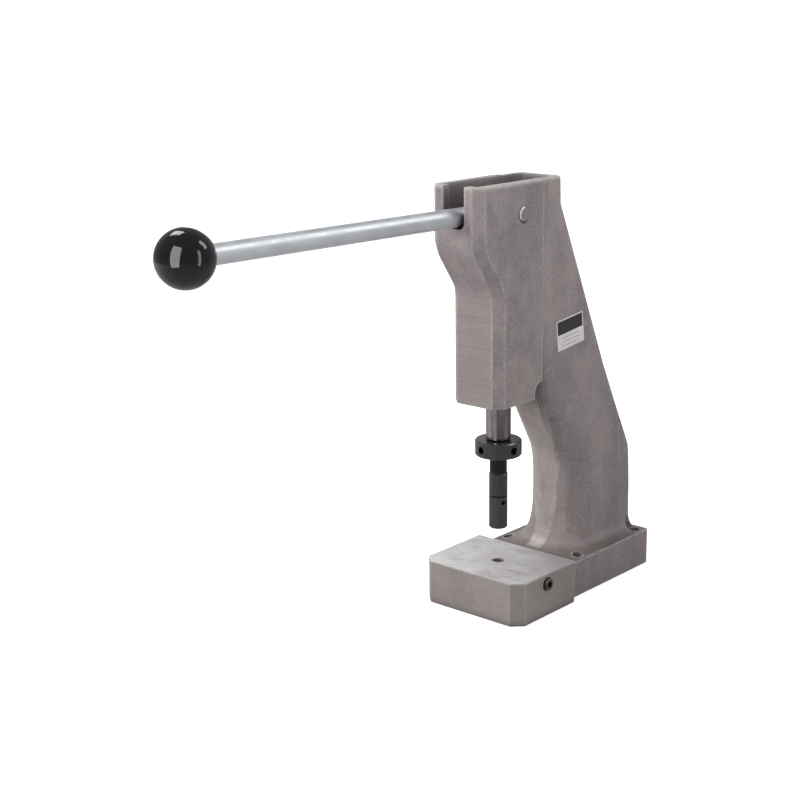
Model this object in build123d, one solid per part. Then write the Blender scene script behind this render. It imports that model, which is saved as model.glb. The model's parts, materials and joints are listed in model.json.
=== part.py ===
from build123d import *
import math
import os

# Bench-top toggle ("arbor") press, all sizes in millimetres.
# Origin: where the ram axis meets the bench.  +Z is up, -Y is the side the operator
# stands on (the ball handle points that way), +X is the operator's right.
# The model is shown with the handle pulled down and the ram at the end of its stroke.

# ---------------------------------------------------------------- driving dimensions
RUN = 0.03                      # radial running clearance of turning and sliding fits
SEAT = 0.01                     # radial gap left in pressed and screwed joints

# anvil block (carries the lower tool)
BLOCK_HALF_X = 50.0
BLOCK_FRONT_Y = -37.3
BLOCK_REAR_Y = 37.7
BLOCK_H = 36.0
BLOCK_CORNER = 9.0
DIE_BORE_D = 10.0

# frame casting: base
BASE_HALF_X = 44.0
BASE_REAR_Y = 154.7
BASE_H = 31.0
BASE_HOLE_D = 8.4
BASE_HOLE_X = 36.0
BASE_HOLE_YS = (60.0, 145.0)

# frame casting: column.  Each row is one level of the casting, by height:
# (ground front face Y, its half width, half width of the column, nose radius,
#  rear face Y, rear corner radius)
FOOT_LEVELS = {
    31.0: (39.0, 22.0, 41.0, 30.0, 150.6, 8.0),
    32.0: (45.0, 19.0, 37.2, 28.0, 150.5, 8.0),
    33.6: (51.0, 15.5, 34.0, 26.5, 150.4, 8.0),
    36.5: (56.7, 12.0, 31.1, 25.0, 150.4, 8.0),
    41.0: (61.8, 9.0, 29.6, 24.4, 150.3, 8.0),
    48.0: (65.8, 7.2, 29.2, 24.0, 150.3, 8.0),
    57.0: (67.8, 6.8, 29.1, 24.6, 150.3, 8.0),
    66.0: (68.5, 6.8, 29.0, 24.6, 150.4, 8.0),
    76.0: (68.6, 7.4, 28.8, 24.5, 150.4, 8.0),
    86.0: (68.5, 8.6, 28.5, 24.2, 150.3, 8.0),
    96.0: (68.3, 10.4, 28.2, 24.0, 150.0, 8.0),
    106.0: (66.9, 11.2, 27.8, 23.6, 149.2, 8.0),
}
ARM_LEVELS = {
    106.0: (66.9, 11.2, 27.8, 23.6, 149.2, 8.0),
    115.0: (64.0, 10.7, 27.4, 23.2, 145.4, 8.0),
    150.0: (44.9, 15.0, 25.3, 21.4, 130.0, 8.0),
    184.0: (28.3, 17.5, 23.9, 12.0, 115.0, 8.0),
}
NECK_LEVELS = {
    184.0: (28.3, 17.5, 23.9, 12.0, 115.0, 8.0),
    323.0: (0.0, 16.0, 22.5, 8.0, 55.0, 8.0),
}
CROWN_LEVELS = {
    323.0: (0.0, 16.0, 22.5, 8.0, 55.0, 8.0),
    345.0: (0.0, 16.0, 22.5, 8.0, 54.2, 8.0),
}

# frame casting: head
HEAD_HALF_X = 24.7
HEAD_FRONT_Y = -54.5
HEAD_NECK_Y = -30.5
HEAD_REAR_Y = 26.0
HEAD_BOTTOM_Z = 171.5
HEAD_TOP_Z = 346.0
HEAD_CHAMFER = 7.2
HEAD_WALL = 7.2
CAVITY_HALF_X = 17.5
CAVITY_FLOOR_Z = 238.0
SLOT_HALF_X = 10.0
SLOT_BOTTOM_Z = 314.0

# ram train
RAM_D = 20.0
RAM_END_Z = 138.8
BUSH_D = 26.0
BUSH_LEN = 22.0
RING_D = 37.5
RING_H = 12.7
RING_TURN_DEG = -10.0           # first tommy hole, turned from +X
THREAD_D = 14.0
SPINDLE_D = 15.0
SPINDLE_SHOULDER_Z = 110.9
SPINDLE_SEAM_Z = 92.0
PAD_END_Z = 64.8

# toggle and handle
PIVOT_Z = 321.0
PIVOT_D = 12.0
ARM_LEN = 28.0                  # pivot to knee
LINK_LEN = 42.0                 # knee to wrist
ARM_REST_DEG = 25.0             # arm stands this far forward of straight down
LEVER_RISE_DEG = 1.265          # handle stands this far above level
BALL_DIST = 317.1               # pivot to ball centre
BALL_D = 40.0
ROD_D = 14.5

# small details
BASE_CORNER_R = 3.0
BASE_EDGE_R = 0.8
BLOCK_EDGE_R, BLOCK_BOTTOM_R, BLOCK_TOP_BREAK = 1.0, 1.5, 0.3
DIE_SCREW_MOUTH = 0.7
HEAD_EDGE_R, CROWN_EDGE_R = 1.2, 2.5
NOTCH_R, NOTCH_Y, NOTCH_Z = 9.1, 24.0, 175.8
RELIEF_LEN, RELIEF_DEPTH = 7.0, 0.9
SPOT_FACE_D = 17.5
BASE_FRONT_WALL = 12.0
BASE_ROOF = 10.0
CAVITY_REAR_Y = 48.6
CAVITY_REAR_R = 10.0
SLOT_CORNER_R = 5.0
SCREW_X, SCREW_Z, SCREW_D = 15.0, 14.0, 8.0
SCREW_HEAD_D, SCREW_HEX, SCREW_TIP_Y = 13.0, 6.0, 21.0
DOWEL_X, DOWEL_D, DOWEL_TIP_Y, DOWEL_END_Y = 34.0, 8.0, 24.0, 48.5
DIE_SCREW_D, DIE_SCREW_Z, DIE_SCREW_PROUD = 10.0, 27.5, 2.6
TONGUE_HALF_X, TONGUE_ABOVE, TONGUE_BELOW = 5.0, 10.0, 13.5
RAM_TAP_DEPTH = 34.0
RING_HOLE_D, RING_HOLE_DEPTH = 6.5, 9.0
SPIGOT_D, SPIGOT_LEN = 8.5, 14.0
SPINDLE_TOP_Z = 158.0
PAD_SCREW_D, PAD_SCREW_Z, PAD_SCREW_TURN_DEG = 4.0, 86.7, -17.6
HUB_R, HUB_HALF_X, HUB_BUSH_D = 13.0, 14.5, 16.0
HUB_BOSS_R, HUB_BOSS_LEN = 9.5, 30.0
STUD_D, STUD_START = 12.0, 10.0
KNEE_PIN_D, WRIST_PIN_D, WRIST_SLACK = 10.0, 8.0, 2.6
EYE_R, LINK_EYE_R, LINK_WAIST = 10.5, 9.5, 7.5
LINK_GAP_X, LINK_T = 5.2, 6.0
CLIP_X, CLIP_T, CLIP_DEPTH, PIN_HALF_LEN = 11.4, 1.2, 0.5, 14.2
KNOB_STUD_D, KNOB_STUD_LEN, BALL_MOUTH = 10.0, 16.0, 17.5
INSERT_D, INSERT_LEN = 14.0, 20.0
SEAM_W, SEAM_DEPTH = 0.4, 0.15     # mould seam round the ball
LABEL_W, LABEL_H, LABEL_T = 36.0, 25.0, 0.3
LABEL_Y, LABEL_Z, LABEL_TILT_DEG = 62.9, 218.9, 6.0

# side views as (y, z, corner radius)
HEAD_OUTLINE = [
    (HEAD_FRONT_Y, HEAD_TOP_Z, 0),
    (HEAD_FRONT_Y, 296.6, 26),
    (HEAD_NECK_Y, 262.3, 26),
    (HEAD_NECK_Y, HEAD_BOTTOM_Z, 0),
    (HEAD_REAR_Y, HEAD_BOTTOM_Z, 0),
    (HEAD_REAR_Y, HEAD_TOP_Z - 0.6, 0),
]
CAVITY_OUTLINE = [
    (HEAD_FRONT_Y + HEAD_WALL, HEAD_TOP_Z + 5, 0),
    (HEAD_FRONT_Y + HEAD_WALL, 294.0, 20),
    (HEAD_NECK_Y + HEAD_WALL, 259.5, 20),
    (HEAD_NECK_Y + HEAD_WALL, CAVITY_FLOOR_Z, 0),
    (17, CAVITY_FLOOR_Z, 0),
    (CAVITY_REAR_Y, 316, 0),
    (CAVITY_REAR_Y, HEAD_TOP_Z + 5, 0),
]

RING_TOP_Z = RAM_END_Z
RING_BOTTOM_Z = RAM_END_Z - RING_H
KNEE_Y = -ARM_LEN * math.sin(math.radians(ARM_REST_DEG))
KNEE_Z = PIVOT_Z - ARM_LEN * math.cos(math.radians(ARM_REST_DEG))
WRIST_Z = KNEE_Z - math.sqrt(LINK_LEN**2 - KNEE_Y**2)


# ---------------------------------------------------------------- helpers
def side_face(corners):
    """Closed outline in the Y-Z plane from (y, z, corner radius) rows."""
    outline = Polyline([(0, y, z) for y, z, _ in corners], close=True)
    face = make_face(outline)
    for y, z, radius in corners:
        if radius:
            corner = face.vertices().sort_by_distance((0, y, z))[0]
            face = fillet(corner, radius)
    return face


def side_plate(corners, half_x):
    """Plate of half thickness half_x whose side view is the given outline."""
    return extrude(side_face(corners), amount=half_x, dir=(1, 0, 0), both=True)


def x_cyl(radius, x0, x1, y, z):
    """Cylinder along X from x0 to x1."""
    centre = Location(((x0 + x1) / 2, y, z), (0, 90, 0))
    return centre * Cylinder(radius, x1 - x0)


def y_cyl(radius, y0, y1, x, z):
    """Cylinder along Y from y0 to y1."""
    centre = Location((x, (y0 + y1) / 2, z), (90, 0, 0))
    return centre * Cylinder(radius, y1 - y0)


def z_cyl(radius, z0, z1, x=0.0, y=0.0):
    """Cylinder along Z from z0 to z1."""
    return Pos(x, y, (z0 + z1) / 2) * Cylinder(radius, z1 - z0)


def box(x0, x1, y0, y1, z0, z1):
    """Box between two opposite corners."""
    middle = Pos((x0 + x1) / 2, (y0 + y1) / 2, (z0 + z1) / 2)
    return middle * Box(x1 - x0, y1 - y0, z1 - z0)


def turned(profile):
    """Solid of revolution about Z from (radius, z) points."""
    outline = Polyline([(r, 0, z) for r, z in profile], close=True)
    return revolve(make_face(outline), axis=Axis.Z, revolution_arc=360)


def edges_at(part, axis, test):
    """Edges parallel to an axis whose centre passes the test."""
    return ShapeList([e for e in part.edges().filter_by(axis) if test(e.center())])


def hex_socket(across_flats, depth):
    """Hexagonal prism standing on Z=0, for cutting into a screw end."""
    return extrude(RegularPolygon(across_flats / 2, 6, major_radius=False), amount=depth)


def write(name, part):
    export_step(part, f"parts/{name}.step")


# ---------------------------------------------------------------- frame casting
def column_section(z, flat_y, flat_half, half_x, nose_r, rear_y, rear_r):
    """Horizontal section of the column: round nose, ground flat in front, squarer back."""
    reach = flat_half - (half_x - nose_r)
    nose_y = flat_y + math.sqrt(nose_r**2 - reach**2)
    turn = math.asin(reach / nose_r)
    mid = (turn + math.pi / 2) / 2
    nose_mid = (half_x - nose_r + nose_r * math.sin(mid), nose_y - nose_r * math.cos(mid))
    rear_mid_x = half_x - rear_r * (1 - math.sqrt(0.5))
    rear_mid_y = rear_y - rear_r * (1 - math.sqrt(0.5))
    edges = [
        Line((-flat_half, flat_y), (flat_half, flat_y)),
        ThreePointArc((flat_half, flat_y), nose_mid, (half_x, nose_y)),
        Line((half_x, nose_y), (half_x, rear_y - rear_r)),
        ThreePointArc(
            (half_x, rear_y - rear_r), (rear_mid_x, rear_mid_y), (half_x - rear_r, rear_y)
        ),
        Line((half_x - rear_r, rear_y), (rear_r - half_x, rear_y)),
        ThreePointArc(
            (rear_r - half_x, rear_y), (-rear_mid_x, rear_mid_y), (-half_x, rear_y - rear_r)
        ),
        Line((-half_x, rear_y - rear_r), (-half_x, nose_y)),
        ThreePointArc((-half_x, nose_y), (-nose_mid[0], nose_mid[1]), (-flat_half, flat_y)),
    ]
    return Pos(0, 0, z) * make_face(edges)


def column_piece(levels, ruled):
    return loft([column_section(z, *row) for z, row in levels.items()], ruled=ruled)


def make_frame():
    """The one-piece casting: base, tapering column and open-topped head."""
    base = box(-BASE_HALF_X, BASE_HALF_X, BLOCK_REAR_Y, BASE_REAR_Y, 0, BASE_H)
    base = fillet(edges_at(base, Axis.Z, lambda c: c.Y > 100), BASE_CORNER_R)
    outline = [e for e in base.edges() if e.center().Y > BLOCK_REAR_Y + 1 and not is_upright(e)]
    base = fillet(outline, BASE_EDGE_R)
    base -= make_base_hollow()

    body = base + column_piece(FOOT_LEVELS, ruled=False)
    body += column_piece(ARM_LEVELS, ruled=True)
    body += column_piece(NECK_LEVELS, ruled=True)
    crown = column_piece(CROWN_LEVELS, ruled=True)
    body += fillet(crown.edges().group_by(Axis.Z)[-1], CROWN_EDGE_R)
    body += make_head()
    return body - make_head_hollow() - make_frame_bores()


def make_head():
    """Boss round the ram and toggle, before its pocket is cut."""
    head = side_plate(HEAD_OUTLINE, HEAD_HALF_X)
    front_edges = [e for e in head.edges() if is_head_front_edge(e)]
    head = chamfer(front_edges, HEAD_CHAMFER)
    for side in (-1, 1):
        head -= rear_relief(side)
    notch = x_cyl(NOTCH_R, -HEAD_HALF_X - 1, HEAD_HALF_X + 1, NOTCH_Y, NOTCH_Z)
    below = box(-50, 50, NOTCH_Y - NOTCH_R, NOTCH_Y + NOTCH_R, HEAD_BOTTOM_Z - 5, NOTCH_Z)
    head = head - notch - below
    rim = [e for e in head.edges() if is_head_outer_rim(e)]
    head = fillet(rim, HEAD_EDGE_R)
    lower = [e for e in head.edges() if is_head_lower_edge(e)]
    return fillet(lower, HEAD_EDGE_R)


def rear_relief(side):
    """Shallow taper where the head's side runs back into the column."""
    start = HEAD_REAR_Y - RELIEF_LEN
    corner = side * (HEAD_HALF_X - RELIEF_DEPTH)
    outer = side * (HEAD_HALF_X + 5)
    outline = [(side * HEAD_HALF_X, start), (outer, start), (outer, HEAD_REAR_Y), (corner, HEAD_REAR_Y)]
    wedge = make_face(Polyline(outline, close=True))
    return Pos(0, 0, HEAD_BOTTOM_Z - 5) * extrude(wedge, amount=HEAD_TOP_Z)


def is_upright(edge):
    return edge.bounding_box().size.Z > 1


def is_head_front_edge(edge):
    """Long edges where the head's curved front meets its flat sides."""
    c = edge.center()
    beside = abs(abs(c.X) - HEAD_HALF_X) < 0.1
    return beside and c.Y < HEAD_NECK_Y + 0.1 and HEAD_BOTTOM_Z + 1 < c.Z < HEAD_TOP_Z - 1


def is_head_outer_rim(edge):
    """Edges round the top of the head, except along its hidden rear."""
    c = edge.center()
    return c.Z > HEAD_TOP_Z - 1 and c.Y < HEAD_REAR_Y - 0.1


def is_head_lower_edge(edge):
    """Outline of the head's underside, except where it meets the column."""
    c = edge.center()
    return c.Z < HEAD_BOTTOM_Z + 0.1 and c.Y < NOTCH_Y - NOTCH_R - 1


def make_base_hollow():
    """Cored pocket in the underside, reaching the screws of the anvil block."""
    hollow = box(-27, 27, BLOCK_REAR_Y + BASE_FRONT_WALL, 138, -1, BASE_H - BASE_ROOF)
    return fillet(edges_at(hollow, Axis.Z, lambda c: True), 6)


def make_head_hollow():
    """Open-topped pocket for the toggle, plus the handle slot in its front wall."""
    hollow = side_plate(CAVITY_OUTLINE, CAVITY_HALF_X)
    rear = [e for e in hollow.edges() if abs(e.center().X) > 17 and e.center().Y > 30]
    hollow = fillet(rear, CAVITY_REAR_R)
    slot = box(
        -SLOT_HALF_X, SLOT_HALF_X, HEAD_FRONT_Y - 5, HEAD_FRONT_Y + 20,
        SLOT_BOTTOM_Z, HEAD_TOP_Z + 10,
    )
    slot = fillet(edges_at(slot, Axis.Y, lambda c: c.Z < SLOT_BOTTOM_Z + 1), SLOT_CORNER_R)
    return hollow + slot


def make_frame_bores():
    """Ram guide, pivot bore, bench holes, block screw and dowel holes."""
    cuts = z_cyl(RAM_D / 2 + 0.6, HEAD_BOTTOM_Z - 5, CAVITY_FLOOR_Z + 5)
    cuts += z_cyl(BUSH_D / 2, HEAD_BOTTOM_Z - 5, HEAD_BOTTOM_Z + BUSH_LEN)
    cuts += z_cyl(BUSH_D / 2, CAVITY_FLOOR_Z - BUSH_LEN, CAVITY_FLOOR_Z + 5)
    cuts += x_cyl(PIVOT_D / 2 + SEAT, -HEAD_HALF_X - 5, HEAD_HALF_X + 5, 0, PIVOT_Z)
    for x in (-BASE_HOLE_X, BASE_HOLE_X):
        for y in BASE_HOLE_YS:
            cuts += z_cyl(BASE_HOLE_D / 2, -5, BASE_H + 20, x, y)
        cuts += z_cyl(SPOT_FACE_D / 2, BASE_H, BASE_H + 12, x, BASE_HOLE_YS[-1])
    for x in (-SCREW_X, SCREW_X):
        cuts += y_cyl(SCREW_D / 2 + 0.4, BLOCK_REAR_Y - 5, BLOCK_REAR_Y + 30, x, SCREW_Z)
    for x in (-DOWEL_X, DOWEL_X):
        cuts += y_cyl(DOWEL_D / 2 + SEAT, BLOCK_REAR_Y - 5, DOWEL_END_Y, x, SCREW_Z)
    return cuts


# ---------------------------------------------------------------- anvil block
def make_anvil_block():
    block = box(-BLOCK_HALF_X, BLOCK_HALF_X, BLOCK_FRONT_Y, BLOCK_REAR_Y, 0, BLOCK_H)
    block = chamfer(edges_at(block, Axis.Z, lambda c: c.Y < 0), BLOCK_CORNER)
    block = fillet(block.edges().filter_by(Axis.Z), BLOCK_EDGE_R)
    block = fillet(block.edges().group_by(Axis.Z)[0], BLOCK_BOTTOM_R)
    block = chamfer(block.edges().group_by(Axis.Z)[-1], BLOCK_TOP_BREAK)
    block -= z_cyl(DIE_BORE_D / 2, -5, BLOCK_H + 5)
    block -= Pos(0, 0, BLOCK_H) * Cone(DIE_BORE_D / 2 - 0.3, DIE_BORE_D / 2 + 1.5, 1.8)
    block -= x_cyl(DIE_SCREW_D / 2 + RUN, 0, BLOCK_HALF_X + 5, 0, DIE_SCREW_Z)
    mouth = Cone(DIE_SCREW_D / 2, DIE_SCREW_D / 2 + DIE_SCREW_MOUTH, DIE_SCREW_MOUTH)
    block -= Location((BLOCK_HALF_X - DIE_SCREW_MOUTH / 2, 0, DIE_SCREW_Z), (0, 90, 0)) * mouth
    for x in (-SCREW_X, SCREW_X):
        block -= y_cyl(SCREW_D / 2 + SEAT, SCREW_TIP_Y - 3, BLOCK_REAR_Y + 5, x, SCREW_Z)
    for x in (-DOWEL_X, DOWEL_X):
        block -= y_cyl(DOWEL_D / 2 + SEAT, DOWEL_TIP_Y - 1, BLOCK_REAR_Y + 5, x, SCREW_Z)
    return block


def make_block_screws():
    """Two socket-head screws, driven from the hollow of the base into the block."""
    screws = []
    head_y = BLOCK_REAR_Y + BASE_FRONT_WALL
    for x in (-SCREW_X, SCREW_X):
        shank = y_cyl(SCREW_D / 2, SCREW_TIP_Y, head_y, x, SCREW_Z)
        head = y_cyl(SCREW_HEAD_D / 2, head_y + SEAT, head_y + SCREW_D, x, SCREW_Z)
        neck = y_cyl(SCREW_D / 2, head_y - 1, head_y + 1, x, SCREW_Z)
        socket = hex_socket(SCREW_HEX, 5)
        socket = Location((x, head_y + SCREW_D, SCREW_Z), (90, 0, 0)) * socket
        screws.append(shank + neck + head - socket)
    return Compound(children=screws)


def make_block_dowels():
    dowels = [
        y_cyl(DOWEL_D / 2, DOWEL_TIP_Y, DOWEL_END_Y - 0.5, x, SCREW_Z)
        for x in (-DOWEL_X, DOWEL_X)
    ]
    return Compound(children=[chamfer(d.edges().filter_by(GeomType.CIRCLE), 0.6) for d in dowels])


def make_die_set_screw():
    """Long socket set screw that clamps a lower tool in the die bore."""
    tip_x = DIE_BORE_D / 2 + 0.8
    end_x = BLOCK_HALF_X + DIE_SCREW_PROUD
    screw = x_cyl(DIE_SCREW_D / 2, tip_x, end_x, 0, DIE_SCREW_Z)
    screw = chamfer(screw.edges().filter_by(GeomType.CIRCLE), 1.0)
    socket = Location((end_x - 5, 0, DIE_SCREW_Z), (0, 90, 0)) * hex_socket(5.0, 6)
    return screw - socket


# ---------------------------------------------------------------- ram train
def make_bush(z0, z1):
    """Plain bronze guide bush, pressed into the head."""
    bush = z_cyl(BUSH_D / 2 - SEAT, z0, z1) - z_cyl(RAM_D / 2 + RUN, z0 - 1, z1 + 1)
    return chamfer(bush.edges().filter_by(GeomType.CIRCLE), 0.5)


def make_ram():
    """Ground ram: tapped at the bottom, flattened to a tongue at the top."""
    ram = z_cyl(RAM_D / 2, RAM_END_Z, WRIST_Z + TONGUE_ABOVE)
    ram = chamfer(ram.edges().group_by(Axis.Z)[0], 1.2)
    ram = chamfer(ram.edges().group_by(Axis.Z)[-1], 2.0)
    shoulder = WRIST_Z - TONGUE_BELOW
    top = WRIST_Z + TONGUE_ABOVE + 5
    for side in (-1, 1):
        x0, x1 = sorted((side * TONGUE_HALF_X, side * RAM_D))
        ram -= box(x0, x1, -RAM_D, RAM_D, shoulder, top)
    ram -= z_cyl(THREAD_D / 2 + RUN, RAM_END_Z - 1, RAM_END_Z + RAM_TAP_DEPTH)
    wrist_hole = WRIST_PIN_D / 2 + WRIST_SLACK
    ram -= x_cyl(wrist_hole, -RAM_D, RAM_D, 0, WRIST_Z)
    return ram


def make_lock_ring():
    """Round nut with four radial holes for a tommy bar."""
    ring = z_cyl(RING_D / 2, RING_BOTTOM_Z, RING_TOP_Z - SEAT)
    ring = chamfer(ring.edges().filter_by(GeomType.CIRCLE), 0.8)
    ring -= z_cyl(THREAD_D / 2 + RUN, RING_BOTTOM_Z - 1, RING_TOP_Z + 1)
    middle = (RING_BOTTOM_Z + RING_TOP_Z) / 2
    for turn in range(4):
        hole = x_cyl(RING_HOLE_D / 2, RING_D / 2 - RING_HOLE_DEPTH, RING_D, 0, middle)
        ring -= Rot(0, 0, 90 * turn + RING_TURN_DEG) * hole
    return ring


def make_tool_spindle():
    """Threaded stud, plain body and the spigot that carries the press pad."""
    return turned(
        [
            (0, SPINDLE_SEAM_Z - SPIGOT_LEN),
            (SPIGOT_D / 2, SPINDLE_SEAM_Z - SPIGOT_LEN),
            (SPIGOT_D / 2, SPINDLE_SEAM_Z),
            (SPINDLE_D / 2 - 0.4, SPINDLE_SEAM_Z),
            (SPINDLE_D / 2, SPINDLE_SEAM_Z + 0.5),
            (SPINDLE_D / 2, SPINDLE_SHOULDER_Z - 0.6),
            (SPINDLE_D / 2 - 0.6, SPINDLE_SHOULDER_Z),
            (THREAD_D / 2, SPINDLE_SHOULDER_Z),
            (THREAD_D / 2, SPINDLE_TOP_Z - 1),
            (THREAD_D / 2 - 1, SPINDLE_TOP_Z),
            (0, SPINDLE_TOP_Z),
        ]
    )


def make_press_pad():
    """Flat-ended pad pushed onto the spindle's spigot."""
    seam = SPINDLE_SEAM_Z - 0.15
    floor = SPINDLE_SEAM_Z - SPIGOT_LEN - 0.5
    pad = turned(
        [
            (0, PAD_END_Z),
            (SPINDLE_D / 2 - 0.8, PAD_END_Z),
            (SPINDLE_D / 2, PAD_END_Z + 0.8),
            (SPINDLE_D / 2, seam - 0.5),
            (SPINDLE_D / 2 - 0.4, seam),
            (SPIGOT_D / 2 + SEAT, seam),
            (SPIGOT_D / 2 + SEAT, floor),
            (0, floor),
        ]
    )
    hole = x_cyl(PAD_SCREW_D / 2 + RUN, 0, SPINDLE_D, 0, PAD_SCREW_Z)
    return pad - Rot(0, 0, PAD_SCREW_TURN_DEG) * hole


def make_pad_set_screw():
    """Small socket set screw that clamps the pad on its spigot."""
    outer_x = SPINDLE_D / 2 - 0.9
    screw = x_cyl(PAD_SCREW_D / 2, SPIGOT_D / 2 + 0.05, outer_x, 0, PAD_SCREW_Z)
    socket = Location((outer_x - 1.4, 0, PAD_SCREW_Z), (0, 90, 0)) * hex_socket(2.0, 3)
    return Rot(0, 0, PAD_SCREW_TURN_DEG) * (screw - socket)


# ---------------------------------------------------------------- toggle
def lever_place():
    """Local frame of the handle: origin on the pivot, +Z out along the rod."""
    rise = math.radians(LEVER_RISE_DEG)
    return Plane(
        origin=(0, 0, PIVOT_Z), x_dir=(1, 0, 0), z_dir=(0, -math.cos(rise), math.sin(rise))
    )


def make_lever_hub():
    """Steel hub turning on the pivot pin, with rod socket and knee arm."""
    hub = x_cyl(HUB_R, -HUB_HALF_X, HUB_HALF_X, 0, PIVOT_Z)
    hub = chamfer(hub.edges().filter_by(GeomType.CIRCLE), 0.8)
    arm = Pos(0, 0, -ARM_LEN / 2) * Box(2 * TONGUE_HALF_X, 2 * EYE_R, ARM_LEN)
    arm += Pos(0, 0, -ARM_LEN) * Rot(0, 90, 0) * Cylinder(EYE_R, 2 * TONGUE_HALF_X)
    hub += Pos(0, 0, PIVOT_Z) * Rot(-ARM_REST_DEG, 0, 0) * arm
    boss = lever_place() * Pos(0, 0, HUB_BOSS_LEN / 2) * Cylinder(HUB_BOSS_R, HUB_BOSS_LEN)
    boss = chamfer(boss.edges().filter_by(GeomType.CIRCLE).sort_by(Axis.Y)[:1], 1.0)
    hub += boss
    hub -= x_cyl(HUB_BUSH_D / 2, -HUB_HALF_X - 1, HUB_HALF_X + 1, 0, PIVOT_Z)
    hub -= x_cyl(KNEE_PIN_D / 2 + SEAT, -HUB_HALF_X, HUB_HALF_X, KNEE_Y, KNEE_Z)
    stud_hole = Pos(0, 0, (STUD_START + HUB_BOSS_LEN + 5) / 2)
    stud_hole *= Cylinder(STUD_D / 2 + SEAT, HUB_BOSS_LEN + 5 - STUD_START)
    return hub - lever_place() * stud_hole


def make_hub_bushes():
    bushes = []
    for side in (-1, 1):
        x0, x1 = sorted((side * 1.0, side * HUB_HALF_X))
        bush = x_cyl(HUB_BUSH_D / 2 - SEAT, x0, x1, 0, PIVOT_Z)
        bushes.append(bush - x_cyl(PIVOT_D / 2 + RUN, x0 - 1, x1 + 1, 0, PIVOT_Z))
    return Compound(children=bushes)


def make_hub_washers():
    washers = []
    for side in (-1, 1):
        x0, x1 = sorted((side * (HUB_HALF_X + 0.1), side * (CAVITY_HALF_X - 0.05)))
        washer = x_cyl(HUB_R - 0.5, x0, x1, 0, PIVOT_Z)
        washers.append(washer - x_cyl(PIVOT_D / 2 + RUN, x0 - 1, x1 + 1, 0, PIVOT_Z))
    return Compound(children=washers)


def make_pivot_pin():
    pin = x_cyl(PIVOT_D / 2, -HEAD_HALF_X - 0.2, HEAD_HALF_X + 0.6, 0, PIVOT_Z)
    return chamfer(pin.edges().filter_by(GeomType.CIRCLE), 0.8)


def make_pin(diameter, y, z):
    """Headless pin along X with a circlip groove near each end."""
    pin = x_cyl(diameter / 2, -PIN_HALF_LEN, PIN_HALF_LEN, y, z)
    pin = chamfer(pin.edges().filter_by(GeomType.CIRCLE), 0.5)
    for side in (-1, 1):
        x0, x1 = sorted((side * CLIP_X, side * (CLIP_X + CLIP_T)))
        groove = x_cyl(diameter, x0, x1, y, z)
        groove -= x_cyl(diameter / 2 - CLIP_DEPTH, x0 - 1, x1 + 1, y, z)
        pin -= groove
    return pin


def make_clips(diameter, y, z):
    """Pair of spring clips sitting in the pin's grooves."""
    clips = []
    inner = diameter / 2 - CLIP_DEPTH + 0.02
    for side in (-1, 1):
        x0, x1 = sorted((side * (CLIP_X + 0.05), side * (CLIP_X + CLIP_T - 0.05)))
        clip = x_cyl(diameter / 2 + 1.8, x0, x1, y, z) - x_cyl(inner, x0 - 1, x1 + 1, y, z)
        clips.append(clip - box(x0 - 1, x1 + 1, y - inner * 0.7, y + inner * 0.7, z - diameter, z))
    return Compound(children=clips)


def make_toggle_links():
    """Two flat links, one each side of the arm and of the ram's tongue."""
    swing = math.degrees(math.asin(-KNEE_Y / LINK_LEN))
    links = []
    for side in (-1, 1):
        x_mid = side * (LINK_GAP_X + LINK_T / 2)
        plate = Pos(0, 0, -LINK_LEN / 2) * Box(LINK_T, 2 * LINK_WAIST, LINK_LEN)
        for z in (0, -LINK_LEN):
            plate += Pos(0, 0, z) * Rot(0, 90, 0) * Cylinder(LINK_EYE_R, LINK_T)
        knee = Rot(0, 90, 0) * Cylinder(KNEE_PIN_D / 2 + RUN, LINK_T + 2)
        wrist = Pos(0, 0, -LINK_LEN) * Rot(0, 90, 0)
        wrist *= Cylinder(WRIST_PIN_D / 2 + SEAT, LINK_T + 2)
        links.append(Pos(x_mid, KNEE_Y, KNEE_Z) * Rot(swing, 0, 0) * (plate - knee - wrist))
    return Compound(children=links)


# ---------------------------------------------------------------- handle
def make_handle_rod():
    """Plated rod, threaded into the hub at one end and into the knob at the other."""
    rod_end = BALL_DIST - BALL_MOUTH
    rod = turned(
        [
            (0, STUD_START + 1),
            (STUD_D / 2 - 0.8, STUD_START + 1),
            (STUD_D / 2, STUD_START + 1.8),
            (STUD_D / 2, HUB_BOSS_LEN + 0.1),
            (ROD_D / 2 - 0.8, HUB_BOSS_LEN + 0.1),
            (ROD_D / 2, HUB_BOSS_LEN + 0.9),
            (ROD_D / 2, rod_end - 1.2),
            (ROD_D / 2 - 1.0, rod_end - 0.1),
            (KNOB_STUD_D / 2, rod_end - 0.1),
            (KNOB_STUD_D / 2, rod_end + KNOB_STUD_LEN),
            (0, rod_end + KNOB_STUD_LEN),
        ]
    )
    return lever_place() * rod


def make_knob_insert():
    """Brass bush moulded into the knob."""
    start = BALL_DIST - BALL_MOUTH
    insert = Pos(0, 0, start + INSERT_LEN / 2) * Cylinder(INSERT_D / 2 - SEAT, INSERT_LEN)
    insert -= Pos(0, 0, start + INSERT_LEN / 2) * Cylinder(KNOB_STUD_D / 2 + SEAT, INSERT_LEN + 2)
    return lever_place() * insert


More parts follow.
